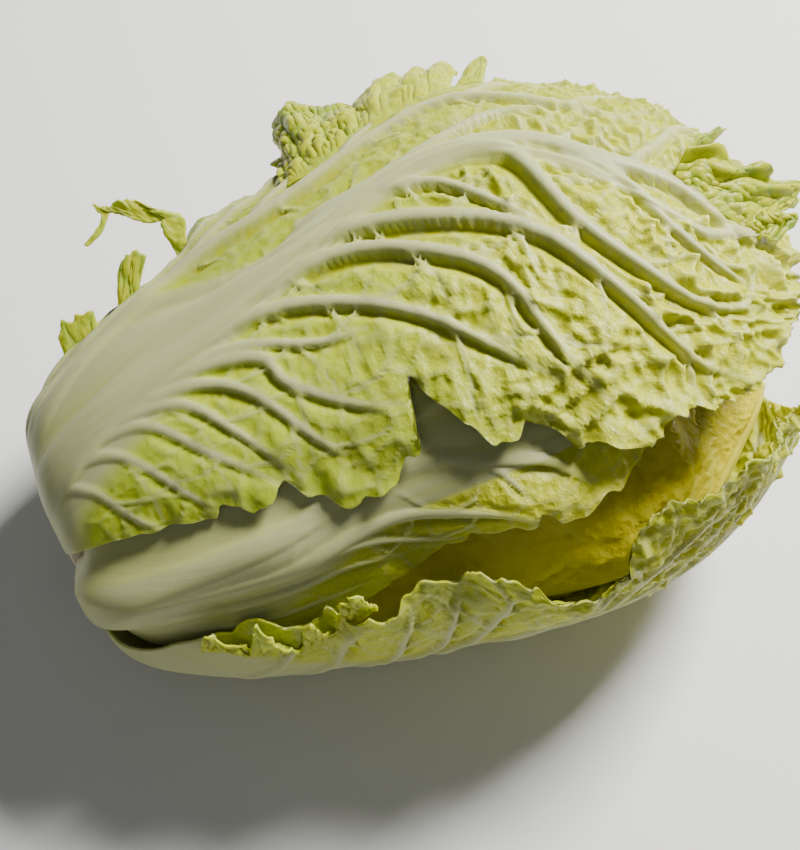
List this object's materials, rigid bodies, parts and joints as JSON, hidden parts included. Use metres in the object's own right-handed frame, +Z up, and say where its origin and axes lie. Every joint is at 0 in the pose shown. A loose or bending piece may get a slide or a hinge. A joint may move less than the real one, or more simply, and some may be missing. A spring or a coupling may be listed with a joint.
{
  "type": "napa cabbage",
  "caption": "Head of napa cabbage lying on its side: broad pale stalks, ribbed and crinkled yellow-green leaves wrapped round a tight heart, open a little at the side.",
  "frame": {"origin": "centre of the head's box, on the surface it rests on", "axes": "+X along the head, from the cut butt to the leaf tips; +Z up, away from the resting side; the open side faces -Y"},
  "size_m": [0.28, 0.222, 0.1531],
  "materials": {
    "outer_leaf": "living leaf: satin, pale green to yellow, thin parts let light through",
    "inner_leaf": "living leaf: satin, pale yellow, thin parts let light through",
    "core": "cut stem: pale, matt, slightly browned"
  },
  "bodies": {
    "root": {"core": "core", "leaf_01": "outer_leaf", "leaf_02": "outer_leaf", "leaf_03": "outer_leaf", "leaf_04": "outer_leaf", "leaf_05": "outer_leaf", "leaf_06": "inner_leaf", "leaf_07": "inner_leaf", "leaf_08": "inner_leaf", "leaf_09": "inner_leaf", "leaf_10": "inner_leaf", "heart": "inner_leaf"}
  },
  "joints": []
}
